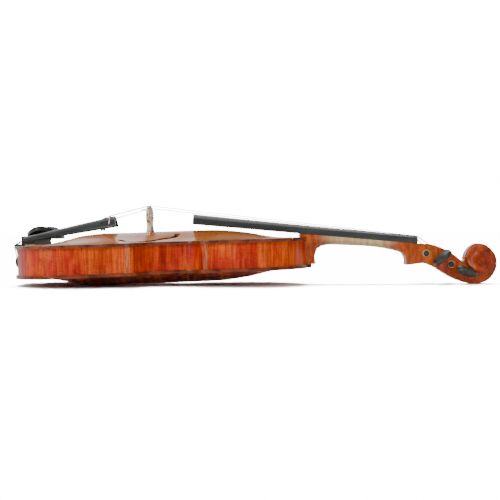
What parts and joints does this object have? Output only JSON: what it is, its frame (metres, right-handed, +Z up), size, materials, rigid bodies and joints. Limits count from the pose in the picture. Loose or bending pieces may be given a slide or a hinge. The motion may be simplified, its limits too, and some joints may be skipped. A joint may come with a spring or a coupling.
{
  "type": "violin",
  "caption": "Full-size violin with arched varnished body, scroll head, ebony fittings, tailpiece, bridge, side-mounted chinrest and turning pegs.",
  "frame": {"origin": "centre of the overall box at the level of the surface the violin lies on, back down", "axes": "+X along the violin from the tail end to the scroll, +Y from the treble (E string) side to the bass (G string) side, +Z up, away from the surface it lies on; the neck end is tilted up by the arch of the back and the scroll"},
  "size_m": [0.5908, 0.2084, 0.0971],
  "materials": {
    "varnished_spruce": "gloss varnish over straight-grained spruce",
    "varnished_maple": "gloss red-brown varnish over flamed maple",
    "bare_maple": "pale unvarnished maple",
    "purfling_wood": "dark dyed strip",
    "spruce_inside": "raw",
    "ebony": "oiled satin",
    "bone": "satin",
    "gut_nylon": "satin",
    "string_metal": "wound, satin",
    "silk": "wound thread",
    "sleeve_plastic": "satin",
    "brass_ball": "satin",
    "cork": "matt cork",
    "clamp_metal": "polished"
  },
  "bodies": {
    "violin": {"top_plate": "varnished_spruce", "top_purfling": "purfling_wood", "back_plate": "varnished_maple", "back_purfling": "purfling_wood", "upper_rib_treble": "varnished_maple", "upper_rib_bass": "varnished_maple", "middle_rib_treble": "varnished_maple", "middle_rib_bass": "varnished_maple", "lower_rib_treble": "varnished_maple", "lower_rib_bass": "varnished_maple", "end_block": "spruce_inside", "neck_block": "spruce_inside", "corner_blocks": "spruce_inside", "top_linings": "spruce_inside", "back_linings": "spruce_inside", "bass_bar": "spruce_inside", "sound_post": "spruce_inside", "neck": "varnished_maple", "fingerboard": "ebony", "nut": "ebony", "saddle": "ebony", "end_button": "ebony", "bridge": "bare_maple", "tailpiece": "ebony", "tailpiece_fret": "bone", "tailgut": "gut_nylon", "chinrest": "ebony", "chinrest_cork": "cork", "clamp_arms": "clamp_metal", "string_ball_ends": "brass_ball", "string_silks": "silk", "e_string_sleeve": "sleeve_plastic", "e_string": "string_metal", "a_string": "string_metal", "d_string": "string_metal", "g_string": "string_metal"},
    "g_peg": {"g_peg": "ebony", "g_winding": "string_metal"},
    "d_peg": {"d_peg": "ebony", "d_winding": "string_metal"},
    "a_peg": {"a_peg": "ebony", "a_winding": "string_metal"},
    "e_peg": {"e_peg": "ebony", "e_winding": "string_metal"},
    "clamp_barrel_1": {"clamp_barrel_1": "clamp_metal"},
    "clamp_barrel_2": {"clamp_barrel_2": "clamp_metal"},
    "clamp_foot": {"clamp_foot": "clamp_metal", "clamp_foot_cork": "cork"}
  },
  "joints": [
    {"name": "g_peg_turn", "type": "hinge", "parent": "violin", "child": "g_peg", "pos_m": [0.20759, 0, 0.03764], "axis": [0, 1, 0], "continuous": true},
    {"name": "d_peg_turn", "type": "hinge", "parent": "violin", "child": "d_peg", "pos_m": [0.23839, 0, 0.02434], "axis": [0, 1, 0], "continuous": true},
    {"name": "a_peg_turn", "type": "hinge", "parent": "violin", "child": "a_peg", "pos_m": [0.25464, 0, 0.01602], "axis": [0, 1, 0], "continuous": true},
    {"name": "e_peg_turn", "type": "hinge", "parent": "violin", "child": "e_peg", "pos_m": [0.22504, 0, 0.03255], "axis": [0, 1, 0], "continuous": true},
    {"name": "barrel_1_turn", "type": "hinge", "parent": "violin", "child": "clamp_barrel_1", "pos_m": [-0.29192, 0.0376, 0.03067], "axis": [-0.0294, 0, 0.9996], "range_deg": [0, 540]},
    {"name": "barrel_2_turn", "type": "hinge", "parent": "violin", "child": "clamp_barrel_2", "pos_m": [-0.28453, 0.0595, 0.03089], "axis": [-0.0294, 0, 0.9996], "range_deg": [0, 540]},
    {"name": "foot_slide", "type": "slide", "parent": "violin", "child": "clamp_foot", "axis": [0.0294, 0, -0.9996], "range_m": [0, 0.0018]}
  ],
  "couplings": [
    {"joint": "barrel_2_turn", "follows": "barrel_1_turn", "ratio": 1},
    {"joint": "foot_slide", "follows": "barrel_1_turn", "m_per_rad": 0.00019097}
  ]
}
